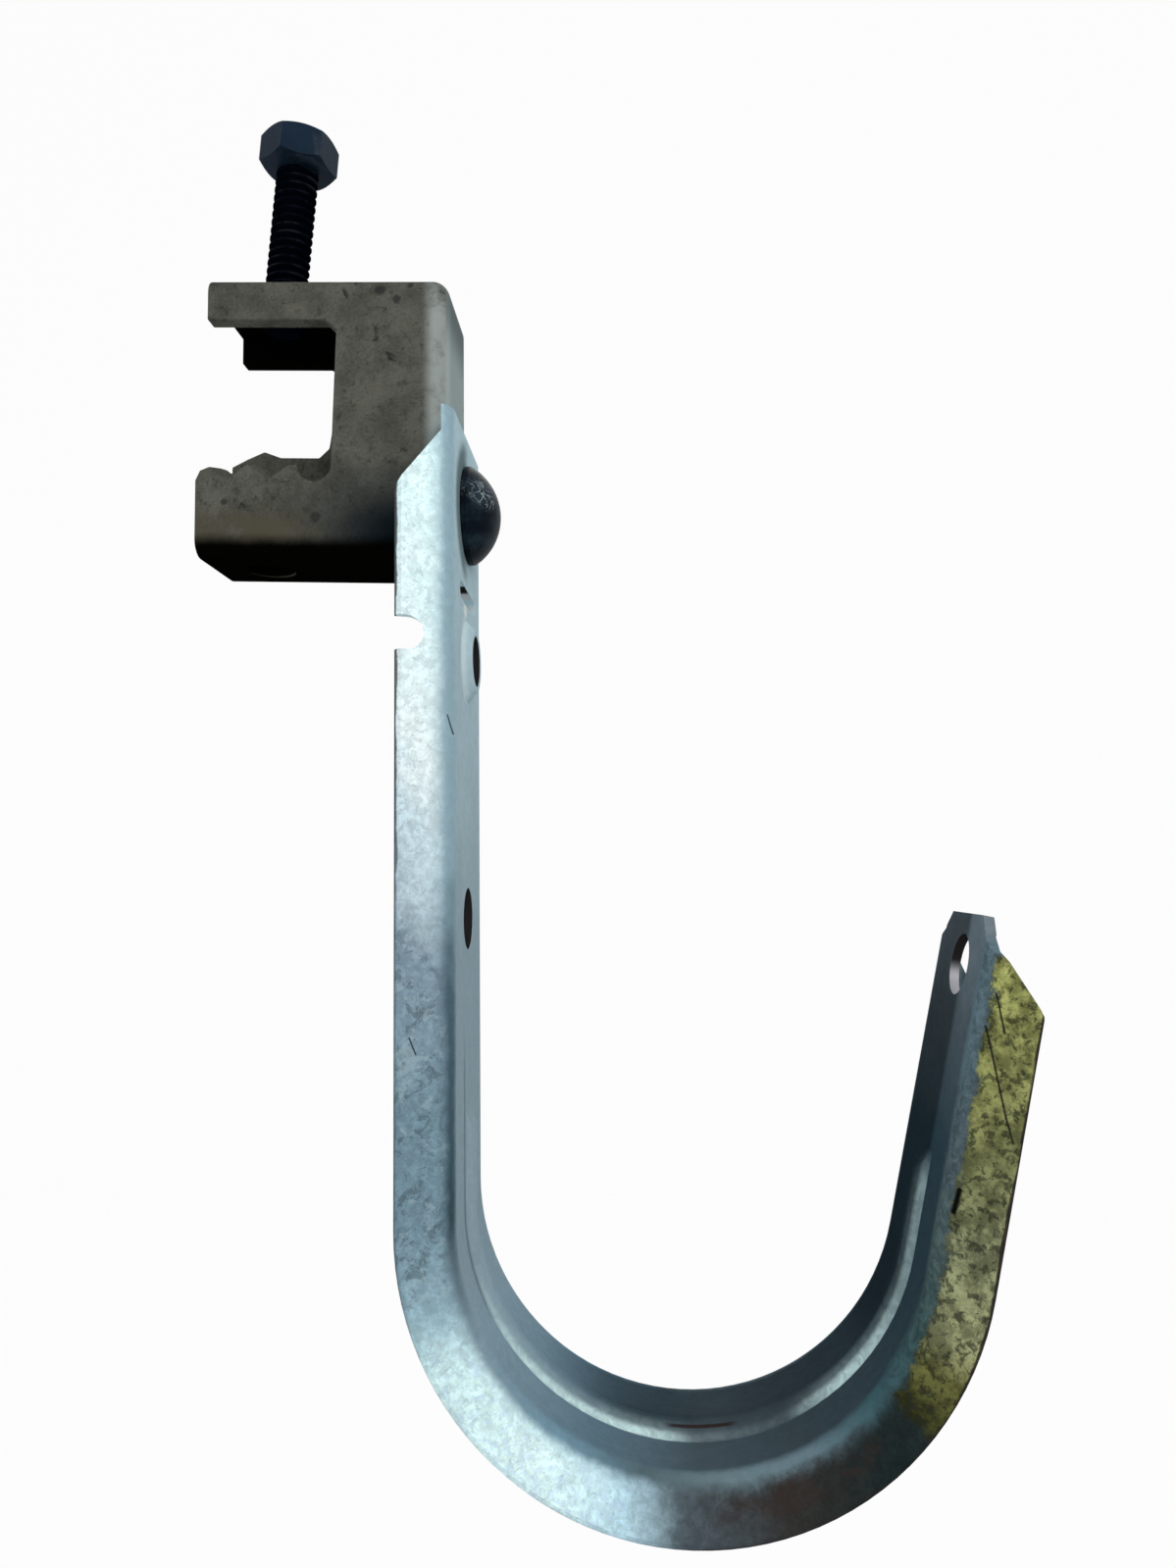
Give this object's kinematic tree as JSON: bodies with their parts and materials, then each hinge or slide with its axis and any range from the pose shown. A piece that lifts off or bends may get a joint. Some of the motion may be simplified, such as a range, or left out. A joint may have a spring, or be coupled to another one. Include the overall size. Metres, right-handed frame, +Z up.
{
  "type": "j-hook cable support with beam clamp",
  "caption": "Sheet steel J-shaped cable support with splayed flanges, riveted to a toothed beam clamp with a hexagon head set screw.",
  "frame": {"origin": "where the set screw's axis meets the level of the tooth tip on the far jaw plate, the seat of a beam's flange", "axes": "+Z up along the hook's back leg, +X from the clamp's jaw to the cradle, +Y across the strip, away from the toothed jaw plate"},
  "size_m": [0.1129, 0.0322, 0.1954],
  "materials": {
    "galvanised_sheet": "mottled zinc coating, satin, with a patch of worn olive yellow paint",
    "clamp_steel": "dull grey brown steel, pitted and dirty",
    "screw_steel": "blue black, semi matt",
    "rivet_steel": "blue black, satin, scratched"
  },
  "bodies": {
    "hook_and_clamp": {"j_hook": "galvanised_sheet", "beam_clamp": "clamp_steel", "rivet": "rivet_steel"},
    "screw": {"set_screw": "screw_steel"}
  },
  "joints": [
    {"name": "set_screw_slide", "type": "slide", "parent": "hook_and_clamp", "child": "screw", "axis": [-0.0854, 0, -0.9963], "range_m": [0, 0.0205]}
  ]
}
